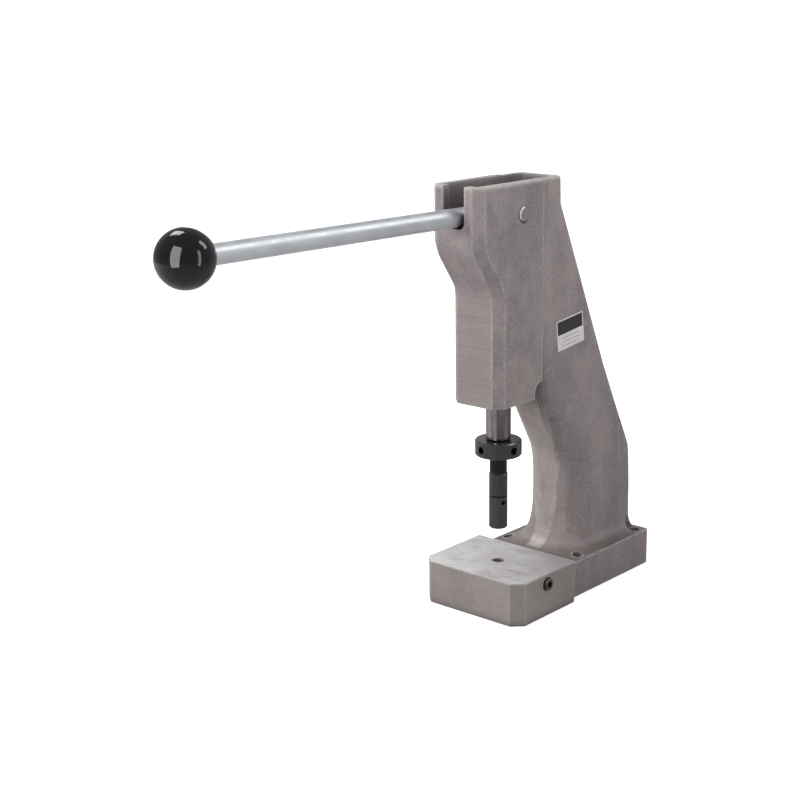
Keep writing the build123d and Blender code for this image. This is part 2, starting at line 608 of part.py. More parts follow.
def make_ball_knob():
    """Ball handle with a mould seam and a flat mouth round the rod."""
    ball = Pos(0, 0, BALL_DIST) * Sphere(BALL_D / 2)
    ball -= Pos(0, 0, BALL_DIST - BALL_MOUTH - 5) * Cylinder(BALL_D, 10)
    seam = Cylinder(BALL_D / 2 + 1, SEAM_W) - Cylinder(BALL_D / 2 - SEAM_DEPTH, SEAM_W + 1)
    ball -= Pos(0, 0, BALL_DIST) * seam
    depth = INSERT_LEN + 1
    ball -= Pos(0, 0, BALL_DIST - BALL_MOUTH + depth / 2 - 0.5) * Cylinder(INSERT_D / 2, depth + 1)
    return lever_place() * ball


# ---------------------------------------------------------------- label
def make_side_label():
    """Thin blank rating plate stuck to the right side of the column."""
    top_x = column_side_x(LABEL_Z + LABEL_H / 2)
    bottom_x = column_side_x(LABEL_Z - LABEL_H / 2)
    lean = math.atan2(bottom_x - top_x, LABEL_H)
    side = Plane(
        origin=((top_x + bottom_x) / 2 + 0.02, LABEL_Y, LABEL_Z),
        x_dir=(0, 1, 0),
        z_dir=(math.cos(lean), 0, math.sin(lean)),
    )
    plate = Rot(0, 0, LABEL_TILT_DEG) * Box(LABEL_W, LABEL_H, LABEL_T)
    plate = fillet(plate.edges().filter_by(Axis.Z), 1.0)
    return side * Pos(0, 0, LABEL_T / 2) * plate


def column_side_x(z):
    """Half width of the column's neck at height z."""
    (z0, low), (z1, high) = NECK_LEVELS.items()
    share = (z - z0) / (z1 - z0)
    return low[2] + (high[2] - low[2]) * share


# ---------------------------------------------------------------- write the nodes
os.makedirs("parts", exist_ok=True)

NODES = {
    "frame": make_frame(),
    "anvil_block": make_anvil_block(),
    "block_screws": make_block_screws(),
    "block_dowels": make_block_dowels(),
    "die_set_screw": make_die_set_screw(),
    "ram_bush_lower": make_bush(HEAD_BOTTOM_Z + 0.5, HEAD_BOTTOM_Z + BUSH_LEN - 0.05),
    "ram_bush_upper": make_bush(CAVITY_FLOOR_Z - BUSH_LEN + 0.05, CAVITY_FLOOR_Z - 0.5),
    "ram": make_ram(),
    "lock_ring": make_lock_ring(),
    "tool_spindle": make_tool_spindle(),
    "press_pad": make_press_pad(),
    "pad_set_screw": make_pad_set_screw(),
    "lever_hub": make_lever_hub(),
    "hub_bushes": make_hub_bushes(),
    "hub_washers": make_hub_washers(),
    "pivot_pin": make_pivot_pin(),
    "knee_pin": make_pin(KNEE_PIN_D, KNEE_Y, KNEE_Z),
    "knee_circlips": make_clips(KNEE_PIN_D, KNEE_Y, KNEE_Z),
    "toggle_links": make_toggle_links(),
    "wrist_pin": make_pin(WRIST_PIN_D, 0, WRIST_Z),
    "wrist_circlips": make_clips(WRIST_PIN_D, 0, WRIST_Z),
    "handle_rod": make_handle_rod(),
    "knob_insert": make_knob_insert(),
    "ball_knob": make_ball_knob(),
    "side_label": make_side_label(),
}

for name, part in NODES.items():
    write(name, part)
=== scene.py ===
"""Looks for the bench-top toggle press: materials, floor, light and camera. Units are metres."""

import json
import math

import bpy
from mathutils import Matrix, Vector


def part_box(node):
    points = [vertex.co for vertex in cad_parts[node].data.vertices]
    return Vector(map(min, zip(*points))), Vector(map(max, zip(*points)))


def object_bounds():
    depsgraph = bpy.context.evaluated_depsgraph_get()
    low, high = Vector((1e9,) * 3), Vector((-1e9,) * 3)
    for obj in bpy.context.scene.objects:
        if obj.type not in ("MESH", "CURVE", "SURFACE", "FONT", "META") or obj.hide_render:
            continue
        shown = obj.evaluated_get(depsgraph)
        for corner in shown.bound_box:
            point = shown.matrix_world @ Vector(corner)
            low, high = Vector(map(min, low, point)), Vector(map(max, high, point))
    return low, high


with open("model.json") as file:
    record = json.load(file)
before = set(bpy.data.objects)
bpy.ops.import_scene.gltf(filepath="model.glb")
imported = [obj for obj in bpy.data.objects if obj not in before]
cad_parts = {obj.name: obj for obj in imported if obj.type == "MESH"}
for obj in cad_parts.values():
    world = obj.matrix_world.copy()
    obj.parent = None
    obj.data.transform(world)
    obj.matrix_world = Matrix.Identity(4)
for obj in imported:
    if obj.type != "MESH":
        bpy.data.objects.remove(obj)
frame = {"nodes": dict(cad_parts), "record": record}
cad_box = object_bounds()
nodes = frame["nodes"]

Y, Z = 1, 2                     # places of the axes in a point or a normal
BEVEL_SAMPLES = 6
RECESS_SAMPLES = 8


# ---------------------------------------------------------------- node-tree helper
def srgb(red, green, blue):
    """Linear colour from 0-255 display values."""
    return tuple((c / 255) ** 2.2 for c in (red, green, blue)) + (1.0,)


def grey(level):
    """Colour with the same linear value in all three channels."""
    return (level,) * 3 + (1,)


class Graph:
    """A Principled material that is put together from small procedural steps."""

    def __init__(self, name):
        self.mat = bpy.data.materials.new(name)
        self.mat.use_nodes = True
        self.tree = self.mat.node_tree
        self.tree.nodes.clear()
        self.out = self.tree.nodes.new("ShaderNodeOutputMaterial")
        self.bsdf = self.tree.nodes.new("ShaderNodeBsdfPrincipled")
        self.link(self.bsdf.outputs[0], self.out.inputs[0])
        self.coords = self.node("ShaderNodeTexCoord").outputs["Object"]
        split = self.node("ShaderNodeSeparateXYZ")
        self.link(self.coords, split.inputs[0])
        self.x, self.y, self.z = split.outputs
        self.normal = self.node("ShaderNodeNewGeometry").outputs["Normal"]

    def node(self, kind, **settings):
        made = self.tree.nodes.new(kind)
        for key, value in settings.items():
            setattr(made, key, value)
        return made

    def link(self, source, target):
        self.tree.links.new(source, target)

    def feed(self, target, value):
        """Put a number, a colour or another node's output into an input."""
        if isinstance(value, bpy.types.NodeSocket):
            self.link(value, target)
        else:
            target.default_value = value

    def set(self, **inputs):
        """Feed inputs of the Principled shader, with _ in a name for a space."""
        for key, value in inputs.items():
            self.feed(self.bsdf.inputs[key.replace("_", " ")], value)

    def math(self, operation, a, b=0.0):
        made = self.node("ShaderNodeMath", operation=operation)
        self.feed(made.inputs[0], a)
        self.feed(made.inputs[1], b)
        return made.outputs[0]

    def times(self, a, b):
        return self.math("MULTIPLY", a, b)

    def plus(self, a, b):
        return self.math("ADD", a, b)

    def minus(self, a, b):
        return self.math("SUBTRACT", a, b)

    def length(self, a, b):
        """Length of the two-part vector a, b."""
        squares = self.plus(self.math("POWER", a, 2.0), self.math("POWER", b, 2.0))
        return self.math("POWER", squares, 0.5)

    def ramp(self, value, low, high, to_low=0.0, to_high=1.0, smooth=True):
        """Map value from low..high to to_low..to_high, held at the ends."""
        kind = "SMOOTHSTEP" if smooth else "LINEAR"
        made = self.node("ShaderNodeMapRange", interpolation_type=kind)
        for slot, number in zip(made.inputs, (value, low, high, to_low, to_high)):
            self.feed(slot, number)
        return made.outputs[0]

    def mix(self, amount, a, b):
        """Colour that goes from a at amount 0 to b at amount 1."""
        made = self.node("ShaderNodeMix", data_type="RGBA")
        self.feed(made.inputs[0], amount)
        self.feed(made.inputs[6], a)
        self.feed(made.inputs[7], b)
        return made.outputs[2]

    def stretch(self, sx, sy, sz):
        """Object coordinates scaled per axis, in cycles per metre."""
        made = self.node("ShaderNodeMapping")
        self.link(self.coords, made.inputs["Vector"])
        made.inputs["Scale"].default_value = (sx, sy, sz)
        return made.outputs[0]

    def noise(self, sx, sy=None, sz=None, detail=3.0, rough=0.55, distortion=0.0):
        """Noise from 0 to 1, with its own scale along each axis or one scale for all."""
        made = self.node("ShaderNodeTexNoise")
        made.inputs["Scale"].default_value = 1.0
        made.inputs["Detail"].default_value = detail
        made.inputs["Roughness"].default_value = rough
        made.inputs["Distortion"].default_value = distortion
        scaled = self.stretch(sx, sx if sy is None else sy, sx if sz is None else sz)
        self.link(scaled, made.inputs["Vector"])
        return made.outputs["Fac"]

    def speckle(self, scale):
        """Distance to the nearest of many scattered points."""
        made = self.node("ShaderNodeTexVoronoi")
        self.link(self.stretch(scale, scale, scale), made.inputs["Vector"])
        made.inputs["Scale"].default_value = 1.0
        return made.outputs["Distance"]

    def facing(self, axis):
        """How far the surface faces along one axis: -1 to 1."""
        split = self.node("ShaderNodeSeparateXYZ")
        self.link(self.normal, split.inputs[0])
        return split.outputs[axis]

    def rounded_normal(self, radius):
        """The surface's normal as if its edges were rounded by the radius."""
        bevel = self.node("ShaderNodeBevel", samples=BEVEL_SAMPLES)
        bevel.inputs["Radius"].default_value = radius
        return bevel.outputs[0]

    def edges(self, radius, full=0.90):
        """1 on sharp edges, fading to 0 within the radius; full sets how sharp gives 1."""
        dot = self.node("ShaderNodeVectorMath", operation="DOT_PRODUCT")
        self.link(self.rounded_normal(radius), dot.inputs[0])
        self.link(self.normal, dot.inputs[1])
        flat = 0.9985
        return self.ramp(dot.outputs["Value"], flat, full)

    def recess(self, distance):
        """Ambient-occlusion mask for painted shade: 0 on open surfaces, rising to 1 in corners, holes and
        cavities.
        """
        shade = self.node("ShaderNodeAmbientOcclusion", samples=RECESS_SAMPLES)
        shade.inputs["Distance"].default_value = distance
        open_level, closed_level = 0.92, 0.35
        return self.ramp(shade.outputs["AO"], open_level, closed_level)

    def bump(self, height, distance, strength, under=None):
        """Normal from a height, on top of another normal where one is given."""
        made = self.node("ShaderNodeBump")
        made.inputs["Strength"].default_value = strength
        made.inputs["Distance"].default_value = distance
        self.feed(made.inputs["Height"], height)
        if under is not None:
            self.link(under, made.inputs["Normal"])
        return made.outputs[0]


# ---------------------------------------------------------------- places on the press
BASE_TOP_Z = 0.031
HEAD_TOP_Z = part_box("frame")[1][2]
HEAD_FLAT_TOP_Z = 0.252         # the ground front of the head ends here, below the bulge
HEAD_FLAT_Y = -0.0305           # and lies in this plane
PIN_LOW, PIN_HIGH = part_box("pivot_pin")
PIN_RADIUS = (PIN_HIGH[2] - PIN_LOW[2]) / 2
LABEL_LOW, LABEL_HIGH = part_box("side_label")
# the spindle's thread stops this far below the lock ring
THREAD_END_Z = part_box("lock_ring")[0][2] - 0.0152
PAD_SEAM_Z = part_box("press_pad")[1][2]


def from_middle(g, low, high):
    """Distance along Y and along Z from the middle of a box."""
    dy = g.minus(g.y, (low[Y] + high[Y]) / 2)
    dz = g.minus(g.z, (low[Z] + high[Z]) / 2)
    return dy, dz


# ---------------------------------------------------------------- casting
CAST_MID = srgb(166, 155, 157)
CAST_WARM = srgb(177, 164, 164)
CAST_COOL = srgb(144, 137, 140)
CAST_BLOTCH = srgb(136, 122, 121)
CAST_LOW_SHADE = srgb(120, 112, 112)
CAST_STREAK = srgb(178, 170, 167)
CAST_DULL = srgb(122, 114, 114)
CAST_PIT = srgb(112, 104, 104)
CAST_GRAIN_LIGHT = srgb(196, 189, 187)
CAST_GRAIN_DARK = srgb(118, 109, 109)
CAST_BASE_SHADE = srgb(100, 91, 89)
CAST_RIM = srgb(206, 201, 199)
GROUND_TONE = srgb(176, 167, 163)
GROUND_DARK = srgb(142, 132, 128)
STRIP_LIGHT = srgb(198, 190, 186)
STRIP_DARK = srgb(168, 159, 155)
STEP_SHADE = srgb(96, 88, 87)
# painted shade for corners and cavities
CAST_RECESS_SHADE = srgb(78, 69, 67)
# dark line at the pin's gap, deepened by painted shadow
PIN_GAP_SHADOW = srgb(64, 57, 56)
BRIGHT_METAL = srgb(222, 219, 217)
# ground strip down the column's inner side
STRIP_LOW_Z, STRIP_WIDE_Z, STRIP_HIGH_Z = 0.034, 0.096, 0.178
STRIP_FRONT_Y = 0.030           # the strip lies behind this
STRIP_NARROW, STRIP_WIDE = 0.0050, 0.0092       # half widths, at the bottom and from the wide height up
WAVE_START_Z, WAVE_LENGTH, WAVE_DEPTH = 0.060, 0.0315, 0.0012


def strip_half_width(g):
    """Half width of the ground strip: it widens upwards, then waves, and has a toothed edge."""
    half_width = g.ramp(g.z, STRIP_LOW_Z, STRIP_WIDE_Z, STRIP_NARROW, STRIP_WIDE)
    turns = g.times(g.minus(g.z, STRIP_WIDE_Z), 2 * math.pi / WAVE_LENGTH)
    wave = g.times(g.math("COSINE", turns), g.ramp(g.z, WAVE_START_Z, STRIP_WIDE_Z, 0.0, WAVE_DEPTH))
    teeth = g.noise(30, 30, 420, detail=4, rough=0.85)
    return g.plus(g.plus(half_width, wave), g.ramp(teeth, 0.35, 0.65, -0.0010, 0.0012))


def ground_strip(g):
    """Mask of the ragged-edged ground strip, and of a thin line of painted shade beside it."""
    reach = g.ramp(g.z, 0.036, 0.070, 0.0022, 0.0060)
    inside = g.minus(strip_half_width(g), g.math("ABSOLUTE", g.plus(g.x, reach)))
    inside = g.plus(inside, reach)
    inner_side = g.ramp(g.facing(Y), -0.05, -0.25)
    inner_side = g.times(inner_side, g.ramp(g.y, STRIP_FRONT_Y, STRIP_FRONT_Y + 0.004))
    inner_side = g.times(inner_side, g.ramp(g.z, STRIP_LOW_Z - 0.002, STRIP_LOW_Z))
    inner_side = g.times(inner_side, g.ramp(g.z, STRIP_HIGH_Z + 0.008, STRIP_HIGH_Z))
    strip = g.times(g.ramp(inside, -0.0002, 0.0003), inner_side)
    # painted shade along the strip's edge, only in its upper part
    step_shade = g.times(g.ramp(inside, -0.0018, -0.0004), g.ramp(inside, 0.0004, -0.0002))
    step_shade = g.times(step_shade, g.times(inner_side, g.ramp(g.z, 0.135, 0.160, 0.0, 1)))
    return strip, step_shade


def bench_hole_rims(g):
    """Chipped bright rims of the two front bench holes."""
    mount = next(m for m in frame["record"]["mounts"] if m["name"] == "bench_holes")
    centre_y = mount["pos_m"][Y]
    half_x, half_y = (mount["dims"][f"spacing_{axis}_mm"] / 2000 for axis in "xy")
    along = g.minus(g.y, centre_y - half_y)
    across = g.minus(g.math("ABSOLUTE", g.x), half_x)
    near = g.ramp(g.length(along, across), 0.0066, 0.0044)
    chips = g.ramp(g.noise(210, detail=4, rough=0.75), 0.47, 0.56)
    return g.times(near, g.times(chips, g.ramp(g.z, 0.022, 0.030)))


def cast_skin(g, patches, grain, pits):
    """Blotchy blasted skin, more streaked towards the base, and darkened towards the base by painted
    shade.
    """
    clouds = g.ramp(g.noise(70, 70, 50, detail=4, rough=0.6), 0.3, 0.7)
    tone = g.mix(patches, CAST_COOL, CAST_WARM)
    tone = g.mix(g.times(clouds, 0.4), tone, CAST_MID)
    blotches = g.ramp(g.noise(17, 17, 13, detail=5, rough=0.6), 0.52, 0.70)
    tone = g.mix(g.times(blotches, 0.4), tone, CAST_BLOTCH)
    # painted shade: the casting darkens towards the base
    tone = g.mix(g.ramp(g.z, 0.32, 0.06, 0.0, 0.35, smooth=False), tone, CAST_LOW_SHADE)
    low_down = g.ramp(g.z, 0.21, 0.10, 0.0, 0.22)
    low_down = g.times(low_down, g.ramp(g.z, 0.020, 0.045, 0.4, 1.0))
    streaks = g.ramp(g.noise(150, 150, 9, detail=3), 0.42, 0.72)
    tone = g.mix(g.times(streaks, low_down), tone, CAST_STREAK)
    dull = g.ramp(g.noise(95, 95, 11, detail=2), 0.5, 0.72)
    tone = g.mix(g.times(dull, low_down), tone, CAST_DULL)
    tone = g.mix(g.ramp(pits, 0.46, 0.30, 0.0, 0.35), tone, CAST_PIT)
    tone = g.mix(g.ramp(grain, 0.48, 0.66, 0.0, 0.32), tone, CAST_GRAIN_LIGHT)
    return g.mix(g.ramp(grain, 0.48, 0.34, 0.0, 0.24), tone, CAST_GRAIN_DARK)


def base_and_rims(g, tone, pits):
    """Painted shade over the top of the base, bright rims of its front holes, and a bright top rim on the
    head that is partly wear and partly painted highlight.
    """
    # painted shade over the top of the base, heavier towards the front
    base_shade = g.ramp(g.z, BASE_TOP_Z + 0.0070, BASE_TOP_Z + 0.0008)
    base_shade = g.times(base_shade, g.ramp(g.facing(Z), 0.45, 0.9))
    base_shade = g.times(base_shade, g.ramp(g.y, 0.145, 0.110, 0.25, 0.62))
    tone = g.mix(base_shade, tone, CAST_BASE_SHADE)
    tone = g.mix(g.times(bench_hole_rims(g), g.ramp(pits, 0.44, 0.54)), tone, BRIGHT_METAL)
    # the head's top rim is lightened partly as wear and partly as a painted highlight
    head_rim = g.ramp(g.z, HEAD_TOP_Z - 0.0045, HEAD_TOP_Z - 0.0005)
    head_rim = g.times(head_rim, g.ramp(pits, 0.32, 0.56, 0.25, 0.75))
    return g.mix(head_rim, tone, CAST_RIM)


def ground_faces(g, tone, patches):
    """Ground front of the head and strip down the column: colour, mask and grinding lines."""
    front = g.ramp(g.facing(Y), -0.90, -0.985)
    head = g.times(front, g.ramp(g.z, HEAD_FLAT_TOP_Z + 0.010, HEAD_FLAT_TOP_Z))
    head = g.times(head, g.ramp(g.y, HEAD_FLAT_Y + 0.0045, HEAD_FLAT_Y + 0.0015))
    strip, step_shade = ground_strip(g)
    ground = g.math("MAXIMUM", head, strip)
    level = g.ramp(g.facing(Z), 0.25, 0.6)
    upright_lines = g.noise(20, 20, 2000, detail=2, rough=0.6)
    lines = g.mix(level, upright_lines, g.noise(20, 1600, 20, detail=2))
    ground_tone = g.mix(g.ramp(lines, 0.3, 0.7), GROUND_DARK, GROUND_TONE)
    strip_patches = g.ramp(g.noise(70, 70, 30, detail=5, rough=0.65), 0.36, 0.62)
    strip_tone = g.mix(strip_patches, STRIP_DARK, STRIP_LIGHT)
    ground_tone = g.mix(g.times(strip, 0.7), ground_tone, strip_tone)
    ground_tone = g.mix(g.ramp(patches, 0, 1, 0.35, 0.0), ground_tone, CAST_MID)
    amount = g.math("MAXIMUM", g.times(head, 0.6), g.times(strip, 0.8))
    tone = g.mix(amount, tone, ground_tone)
    # painted shade beside the strip
    return g.mix(g.times(step_shade, 0.7), tone, STEP_SHADE), ground, lines


def bright_scuffs(g, tone, scale, fade):
    """Scattered bright scuffs; scale sets their size and fade where they thin out."""
    scuffs = g.ramp(g.noise(*scale, detail=5, rough=0.8), 0.655, 0.72)
    scuffs = g.times(scuffs, fade)
    return g.mix(g.times(scuffs, 0.6), tone, BRIGHT_METAL)


def wear_and_edge_highlights(g, tone, pits):
    """Bright dots and scuffs of the casting, and edges lightened partly as wear and partly as painted
    highlight.
    """
    dots = g.ramp(g.speckle(520), 0.20, 0.10)
    sparse = g.ramp(g.noise(60, detail=3, rough=0.7), 0.52, 0.68)
    tone = g.mix(g.times(g.times(dots, sparse), 0.55), tone, BRIGHT_METAL)
    tone = bright_scuffs(g, tone, (380, 380, 200), g.ramp(g.noise(35, detail=2), 0.45, 0.62))
    # edges lightened partly as wear and partly as a painted edge highlight
    edge_wear_and_highlight = g.times(g.edges(0.0026, 0.945), g.ramp(pits, 0.36, 0.60, 0.1, 1.0))
    edge_wear_and_highlight = g.times(edge_wear_and_highlight, g.ramp(g.noise(70, detail=5, rough=0.8), 0.42, 0.56, 0.45, 1.0))
    return g.mix(g.times(edge_wear_and_highlight, 0.9), tone, BRIGHT_METAL)


def recess_and_pin_shade(g, tone):
    """Painted shade in corners and cavities, and a dark gap line round the pivot pin deepened on its
    lower front by painted shadow.
    """
    above_base = g.ramp(g.z, BASE_TOP_Z - 0.005, BASE_TOP_Z + 0.001)
    # painted shade in corners and cavities above the base
    tone = g.mix(g.times(g.recess(0.04), g.times(above_base, 0.75)), tone, CAST_RECESS_SHADE)
    dy, dz = from_middle(g, PIN_LOW, PIN_HIGH)
    # dark line at the pivot pin's gap, deepened on the lower front as painted shadow
    gap_shadow_ring = g.ramp(g.length(dy, dz), PIN_RADIUS + 0.0018, PIN_RADIUS + 0.0004)
    lower_front = g.plus(dy, g.times(dz, 0.6))
    gap_shadow_ring = g.times(gap_shadow_ring, g.ramp(lower_front, 0.004, -0.003, 0.2, 1.0))
    return g.mix(gap_shadow_ring, tone, PIN_GAP_SHADOW)


def cast_iron():
    """Blasted grey casting, with ground faces on the head and down the column."""
    g = Graph("cast_iron_blasted")
    patches = g.ramp(g.noise(22, 22, 14, detail=6, rough=0.66), 0.38, 0.62)
    grain = g.noise(620, detail=3, rough=0.8)
    pits = g.noise(520, detail=5, rough=0.75)
    tone = cast_skin(g, patches, grain, pits)
    tone = base_and_rims(g, tone, pits)
    tone, ground, lines = ground_faces(g, tone, patches)
    tone = wear_and_edge_highlights(g, tone, pits)
    tone = recess_and_pin_shade(g, tone)
    height = g.plus(g.times(grain, 0.5), g.times(pits, 0.9))
    smooth = g.minus(1.0, g.times(ground, 0.8))
    rounded = g.rounded_normal(0.0014)
    bumps = g.bump(g.times(height, smooth), 0.0004, 0.5, under=rounded)
    bumps = g.bump(g.times(lines, ground), 0.00012, 0.5, under=bumps)
    g.set(Base_Color=tone, Metallic=0.25, Normal=bumps)
    g.set(Roughness=g.ramp(ground, 0, 1, 0.60, 0.42), Specular_IOR_Level=0.4)
    return g.mat


# ---------------------------------------------------------------- anvil block
def block_top(g, smudges, strokes):
    """Ground top of the block: smudged and stroked, with painted shade towards the rear right."""
    tone = g.mix(g.ramp(smudges, 0.32, 0.62), srgb(190, 186, 185), srgb(214, 212, 213))
    blotch = g.ramp(g.noise(24, 30, 24, detail=6, rough=0.65, distortion=0.8), 0.50, 0.64)
    tone = g.mix(g.times(blotch, 0.55), tone, srgb(160, 153, 149))
    tone = g.mix(g.ramp(strokes, 0.5, 0.72, 0.0, 0.14), tone, srgb(236, 235, 236))
    # painted shade towards the rear right of the top
    rear_right_shade = g.ramp(g.plus(g.x, g.y), 0.005, 0.075, 0.0, 0.6)
    return g.mix(rear_right_shade, tone, srgb(172, 170, 173))


def block_sides(g, grain, pits):
    """Blasted sides of the block."""
    patches = g.ramp(g.noise(28, detail=4), 0.3, 0.7)
    lines = g.noise(40, 40, 800, detail=2, rough=0.6)
    tone = g.mix(patches, srgb(153, 144, 141), srgb(168, 159, 156))
    tone = g.mix(g.ramp(pits, 0.47, 0.32, 0.0, 0.6), tone, srgb(112, 105, 103))
    tone = g.mix(g.ramp(grain, 0.5, 0.66, 0.0, 0.4), tone, srgb(190, 184, 181))
    tone = g.mix(g.ramp(lines, 0.5, 0.7, 0.0, 0.15), tone, srgb(174, 168, 165))
    return bright_scuffs(g, tone, (300, 300, 220), g.ramp(g.noise(40, detail=2), 0.45, 0.65))


def machined_block():
    """Anvil block: ground bright top, blasted sides, and a stain round the die bore."""
    g = Graph("anvil_steel")
    top = g.ramp(g.facing(Z), 0.85, 0.97)
    smudges = g.noise(42, 52, 42, detail=6, rough=0.66, distortion=0.6)
    strokes = g.noise(60, 600, 60, detail=3, rough=0.6)
    grain = g.noise(640, detail=3, rough=0.8)
    pits = g.noise(480, detail=5, rough=0.75)
    tone = g.mix(top, block_sides(g, grain, pits), block_top(g, smudges, strokes))
    # edges lightened partly as wear and partly as a painted edge highlight
    edge_wear_and_highlight = g.times(g.edges(0.0024, 0.965), g.ramp(pits, 0.36, 0.58, 0.3, 1.0))
    tone = g.mix(g.times(edge_wear_and_highlight, 0.6), tone, BRIGHT_METAL)
    # painted shade in the block's recesses
    tone = g.mix(g.times(g.recess(0.01), 0.7), tone, srgb(84, 76, 73))
    stain = g.times(g.ramp(g.length(g.x, g.y), 0.024, 0.007), g.ramp(smudges, 0.42, 0.62))
    tone = g.mix(g.times(stain, 0.55), tone, srgb(158, 149, 143))
    bumps = g.bump(g.plus(grain, pits), 0.0002, 0.4)
    bumps = g.bump(g.times(strokes, top), 0.00005, 0.3, under=bumps)
    g.set(Base_Color=tone, Metallic=g.ramp(top, 0, 1, 0.25, 0.45), Normal=bumps)
    top_roughness = g.mix(smudges, grey(0.5), grey(0.34))
    g.set(Roughness=g.mix(top, grey(0.58), top_roughness))
    return g.mat


# ---------------------------------------------------------------- turned and plated metal
BLACKENED = srgb(40, 37, 37)
OXIDE = {"metallic": 0.0, "fleck": 0.03, "ripple": 0.00001, "specular": 0.8}


def turned_steel(
    name, tone, rough, metallic=1.0, lines=(30, 30, 2600), wear=0.0, fleck=0.12, ripple=0.00003,
    specular=0.5, reflection_bands=0.0, thread_above=None, seam=None, recess_shade=0.8
):
    """Metal with fine turning lines and a patchy sheen.

    wear brightens the edges, reflection_bands adds darker bands along Z as painted reflections, and
    recess_shade darkens recesses with painted shade.
    thread_above blackens what is above that height, and seam draws a thin dark ring at its height.
    """
    g = Graph(name)
    fine = g.noise(*lines, detail=2, rough=0.6)
    cloud = g.noise(70, detail=4, rough=0.6)
    dark = tuple(c * (1 - 2 * fleck) for c in tone[:3]) + (1.0,)
    colour = g.mix(g.ramp(cloud, 0.3, 0.7), dark, tone)
    light = tuple(min(0.9, c * 1.8) for c in tone[:3]) + (1.0,)
    colour = g.mix(g.ramp(fine, 0.35, 0.75, 0.0, 3 * fleck), colour, light)
    # darker bands along Z, painted reflections
    if reflection_bands:
        bands = g.ramp(g.noise(170, 170, 5, detail=4, rough=0.6), 0.44, 0.62)
        colour = g.mix(g.times(bands, reflection_bands), colour, srgb(60, 55, 57))
    # painted shade in recesses
    colour = g.mix(g.times(g.recess(0.004), recess_shade), colour, srgb(14, 12, 12))
    if wear:
        rim = g.times(g.edges(0.0006), g.ramp(g.noise(300), 0.3, 0.6, 0.3, 1.0))
        colour = g.mix(g.times(rim, wear), colour, srgb(200, 196, 192))
    if thread_above is not None:
        thread = g.ramp(g.z, thread_above - 0.0003, thread_above + 0.0003)
        colour = g.mix(g.times(thread, 0.75), colour, srgb(12, 11, 11))
        specular = g.ramp(thread, 0, 1, specular, 0.3)
    if seam is not None:
        off = g.math("ABSOLUTE", g.minus(g.z, seam))
        colour = g.mix(g.ramp(off, 0.0009, 0.0003, 0.0, 0.9), colour, srgb(6, 5, 5))
        specular = g.ramp(off, 0.0003, 0.0009, 0.1, specular)
    g.set(Base_Color=colour, Metallic=metallic, Specular_IOR_Level=specular)
    g.set(Normal=g.bump(fine, ripple, 0.3))
    g.set(Roughness=g.ramp(cloud, 0.25, 0.75, rough * 0.85, rough * 1.2))
    return g.mat


def black_oxide(name, tone, rough, wear, **details):
    """Blackened turned steel."""
    return turned_steel(name, tone, rough, wear=wear, lines=(40, 40, 900), **OXIDE, **details)


def pin_end():
    """Pivot pin: painted over with the casting, with a painted highlight on its chamfer at the upper
    front.
    """
    g = Graph("pin_end")
    dy, dz = from_middle(g, PIN_LOW, PIN_HIGH)
    mottle = g.noise(300, detail=4, rough=0.7)
    colour = g.mix(g.ramp(mottle, 0.3, 0.7), srgb(140, 131, 130), srgb(164, 156, 154))
    # painted highlight on the pin's chamfer, on its upper front side
    rim = g.ramp(g.length(dy, dz), PIN_RADIUS - 0.0018, PIN_RADIUS - 0.0010)
    upper_front = g.minus(dy, g.times(dz, 0.45))
    rim = g.times(rim, g.ramp(upper_front, 0.0, -0.0045))
    colour = g.mix(rim, colour, srgb(236, 233, 232))
    g.set(Base_Color=colour, Metallic=0.25, Roughness=g.ramp(mottle, 0.3, 0.7, 0.38, 0.5))
    g.set(Normal=g.bump(mottle, 0.0001, 0.4))
    return g.mat


# ---------------------------------------------------------------- ball and label
def black_phenolic():
    """Polished black ball with faint haze and handling scratches."""
    g = Graph("black_phenolic")
    haze = g.noise(60, detail=4, rough=0.6)
    colour = g.mix(g.ramp(haze, 0.4, 0.7), srgb(10, 10, 12), srgb(20, 19, 21))
    colour = g.mix(g.times(g.edges(0.0008), 0.5), colour, srgb(64, 62, 64))
    scratches = g.ramp(g.noise(900, 60, 200, detail=3), 0.62, 0.7)
    g.set(Base_Color=colour, Roughness=g.ramp(scratches, 0, 1, 0.07, 0.16))
    g.set(Specular_IOR_Level=0.55, Normal=g.bump(haze, 0.0001, 0.1))
    return g.mat


def window(g, value, low, high):
    """1 where the value lies between low and high, with soft ends."""
    soft = 0.00012
    rise = g.ramp(value, low - soft, low + soft)
    fall = g.ramp(value, high + soft, high - soft)
    return g.times(rise, fall)


LABEL_TILT = math.radians(6.0)
BAND_HALF_LENGTH = 0.0168
BAND_LOW, BAND_HIGH = 0.0004, 0.0114
RULE_START = -0.0120
RULE_HALF_HEIGHT = 0.00035
RULES = ((-0.0030, 0.0120), (-0.0062, 0.0120), (-0.0094, 0.0070))     # height and end of each


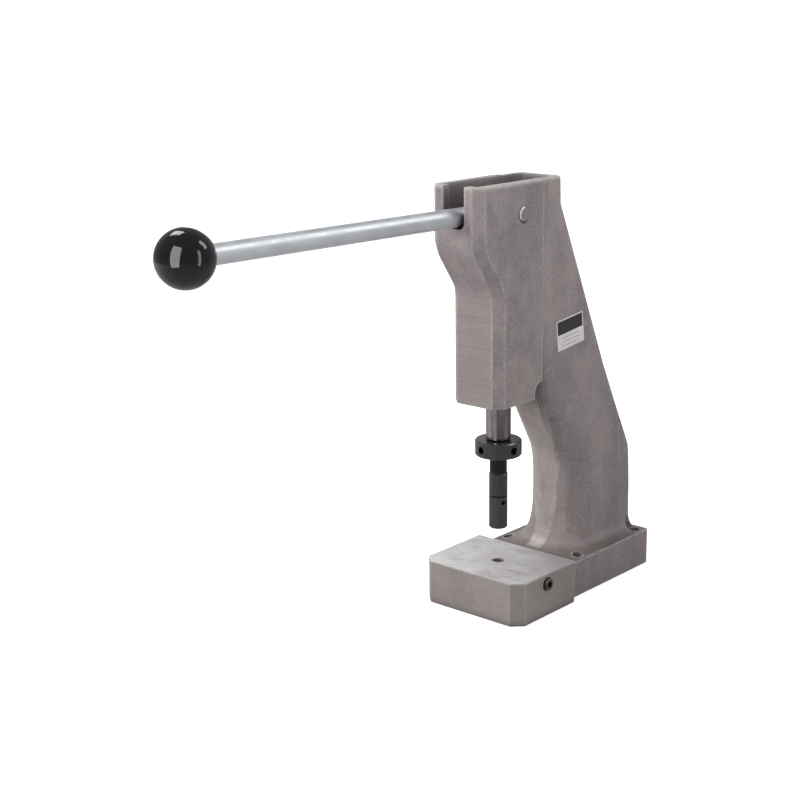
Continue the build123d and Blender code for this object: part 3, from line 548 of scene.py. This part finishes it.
def label_film():
    """Blank rating label: white film, dark header band and thin rules, no lettering."""
    g = Graph("label_film")
    cos, sin = math.cos(LABEL_TILT), math.sin(LABEL_TILT)
    dy, dz = from_middle(g, LABEL_LOW, LABEL_HIGH)
    along = g.plus(g.times(dy, cos), g.times(dz, sin))
    up = g.minus(g.times(dz, cos), g.times(dy, sin))
    band = window(g, along, -BAND_HALF_LENGTH, BAND_HALF_LENGTH)
    band = g.times(band, window(g, up, BAND_LOW, BAND_HIGH))
    film = g.ramp(g.noise(120, detail=3), 0.3, 0.7)
    colour = g.mix(film, srgb(226, 225, 226), srgb(240, 239, 240))
    colour = g.mix(band, colour, srgb(50, 47, 49))
    for height, end in RULES:
        rule = window(g, up, height - RULE_HALF_HEIGHT, height + RULE_HALF_HEIGHT)
        rule = g.times(window(g, along, RULE_START, end), rule)
        colour = g.mix(g.times(rule, 0.55), colour, srgb(172, 84, 76))
    colour = g.mix(g.times(g.edges(0.0005), 0.4), colour, srgb(196, 192, 190))
    g.set(Base_Color=colour, Roughness=0.42, Normal=g.bump(g.noise(700), 0.00003, 0.3))
    return g.mat


# ---------------------------------------------------------------- materials on the pieces
MATERIALS = {
    "casting": cast_iron(),
    "machined_block": machined_block(),
    "ground_steel": turned_steel(
        "ground_steel", srgb(158, 152, 154), 0.24, lines=(24, 24, 900), fleck=0.05, reflection_bands=0.7, recess_shade=0.15
    ),
    "black_oxide": black_oxide("black_oxide", BLACKENED, 0.26, 0.3),
    "thread_oxide": black_oxide("thread_oxide", BLACKENED, 0.26, 0.3, thread_above=THREAD_END_Z),
    "pad_oxide": black_oxide("pad_oxide", srgb(46, 44, 46), 0.30, 0.2, seam=PAD_SEAM_Z),
    "socket_black": turned_steel(
        "socket_black", srgb(16, 15, 15), 0.5, metallic=0.0, fleck=0.02, ripple=0.0, specular=0.15
    ),
    "forged_steel": turned_steel("hub_steel", srgb(128, 123, 120), 0.42, metallic=0.9, wear=0.4),
    "bronze": turned_steel("bush_bronze", srgb(172, 126, 72), 0.35),
    "zinc_plate": turned_steel(
        "zinc_plate", srgb(216, 220, 225), 0.50, lines=(300, 10, 300), fleck=0.02, ripple=0.0
    ),
    "pin_end": pin_end(),
    "brass": turned_steel("insert_brass", srgb(201, 164, 84), 0.28),
    "black_phenolic": black_phenolic(),
    "label_film": label_film(),
}
# pieces that look different from the other pieces of their material slot
OWN_MATERIAL = {
    "pivot_pin": "pin_end",
    "tool_spindle": "thread_oxide",
    "press_pad": "pad_oxide",
    "pad_set_screw": "socket_black",
}
SLOT_OF = {s["node"]: s["material_slot"] for s in frame["record"]["subparts"]}

for node_name, node in nodes.items():
    material = MATERIALS[OWN_MATERIAL.get(node_name, SLOT_OF[node_name])]
    node.data.materials.clear()
    node.data.materials.append(material)


# ---------------------------------------------------------------- stage, light, camera
CAM_YAW, CAM_PITCH, CAM_ROLL = (math.radians(a) for a in (41.851, 14.871, -0.795))
CAM_PLACE = Vector((0.76285, -0.96882, 0.49865))
CAM_LENS = 72.2
CAM_SENSOR = 36
LIGHT_TARGET = Vector((0, 0.02, 0.19))
AMBIENT = 0.89                  # the world's strength as light
CAMERA_SIDE = 0.15              # its strength behind the camera, as a share of AMBIENT
REFLECTED = 0.34                # its strength in reflections
FLOOR_HALF = 6.0
FLOOR_GAP = 0.0002
FLOOR_GLOW = 0.75
FLOOR_BOUNCE = (0.55, 0.54, 0.54, 1)


def area_light(name, location, size, power):
    """Rectangular light that points at the press."""
    data = bpy.data.lights.new(name, "AREA")
    data.shape = "RECTANGLE"
    data.size, data.size_y = size
    data.energy = power
    lamp = bpy.data.objects.new(name, data)
    lamp.location = location
    aim = LIGHT_TARGET - Vector(location)
    lamp.rotation_euler = aim.to_track_quat("-Z", "Y").to_euler()
    bpy.context.scene.collection.objects.link(lamp)
    return lamp


def make_camera():
    forward = Vector(
        (
            -math.sin(CAM_YAW) * math.cos(CAM_PITCH),
            math.cos(CAM_YAW) * math.cos(CAM_PITCH),
            -math.sin(CAM_PITCH),
        )
    )
    right = Vector((math.cos(CAM_YAW), math.sin(CAM_YAW), 0))
    up = right.cross(forward)
    tilted_right = right * math.cos(CAM_ROLL) + up * math.sin(CAM_ROLL)
    tilted_up = up * math.cos(CAM_ROLL) - right * math.sin(CAM_ROLL)
    turn = Matrix((tilted_right, tilted_up, -forward)).transposed().to_4x4()
    data = bpy.data.cameras.new("camera")
    data.lens = CAM_LENS
    data.sensor_width = CAM_SENSOR
    camera = bpy.data.objects.new("camera", data)
    camera.matrix_world = Matrix.Translation(CAM_PLACE) @ turn
    bpy.context.scene.collection.objects.link(camera)
    bpy.context.scene.camera = camera


def ray_kind(tree, kind):
    """1 for the named kind of ray, such as "Is Camera Ray", otherwise 0."""
    return tree.nodes.new("ShaderNodeLightPath").outputs[kind]


def make_floor():
    """Pale floor: white to the camera, but throwing little light back up at the press."""
    mesh = bpy.data.meshes.new("floor")
    corners = [(-1, -1), (1, -1), (1, 1), (-1, 1)]
    mesh.from_pydata([(x * FLOOR_HALF, y * FLOOR_HALF, 0) for x, y in corners], [], [(0, 1, 2, 3)])
    floor = bpy.data.objects.new("floor", mesh)
    floor.location.z = cad_box[0][Z] - FLOOR_GAP
    bpy.context.scene.collection.objects.link(floor)
    g = Graph("floor_white")
    seen = ray_kind(g.tree, "Is Camera Ray")
    g.set(Base_Color=g.mix(seen, FLOOR_BOUNCE, grey(0.9)), Roughness=0.9)
    g.set(Emission_Color=grey(1), Emission_Strength=g.times(seen, FLOOR_GLOW))
    g.set(Specular_IOR_Level=0.0)
    floor.data.materials.append(g.mat)


def make_world():
    """White to the camera, darker in reflections, and as light darker from behind the camera."""
    world = bpy.data.worlds.new("studio")
    world.use_nodes = True
    tree = world.node_tree
    direction = tree.nodes.new("ShaderNodeTexCoord").outputs["Generated"]
    toward = tree.nodes.new("ShaderNodeVectorMath")
    toward.operation = "DOT_PRODUCT"
    tree.links.new(direction, toward.inputs[0])
    toward.inputs[1].default_value = (CAM_PLACE - LIGHT_TARGET).normalized()
    shade = tree.nodes.new("ShaderNodeMapRange")
    tree.links.new(toward.outputs["Value"], shade.inputs[0])
    for slot, number in zip(list(shade.inputs)[1:5], (0.0, 1.0, AMBIENT, AMBIENT * CAMERA_SIDE)):
        slot.default_value = number
    level = shade.outputs[0]
    for kind, strength in (("Is Glossy Ray", REFLECTED), ("Is Camera Ray", 1.0)):
        blend = tree.nodes.new("ShaderNodeMix")
        tree.links.new(ray_kind(tree, kind), blend.inputs[0])
        tree.links.new(level, blend.inputs[2])
        blend.inputs[3].default_value = strength
        level = blend.outputs[0]
    background = tree.nodes["Background"]
    background.inputs[0].default_value = grey(1)
    tree.links.new(level, background.inputs[1])
    bpy.context.scene.world = world


def make_lights():
    """A key and a fill, and softboxes that show only as reflections on the shiny pieces."""
    area_light("key", (-1.25, -1.0, 1.0), (1.0, 1.0), 22).visible_glossy = False
    area_light("side_fill", (0.50, 0.10, 0.55), (0.3, 0.3), 0.58).visible_glossy = False
    for name, place, size, power in (
        ("top_softbox", (-0.77, -0.06, 1.45), (0.45, 0.65), 6),
        ("front_softbox", (0.12, -0.84, 0.46), (0.36, 0.80), 4.5),
        ("right_softbox", (0.66, -0.16, 0.38), (0.14, 0.62), 0.9),
        ("rear_window", (0.55, 0.55, 1.05), (0.34, 0.55), 3),
        ("back_softbox", (-1.06, 0.86, 0.50), (0.45, 0.35), 1.25),
    ):
        area_light(name, place, size, power).visible_diffuse = False


make_world()
make_floor()
make_camera()
make_lights()
bpy.context.scene.view_settings.view_transform = "Standard"
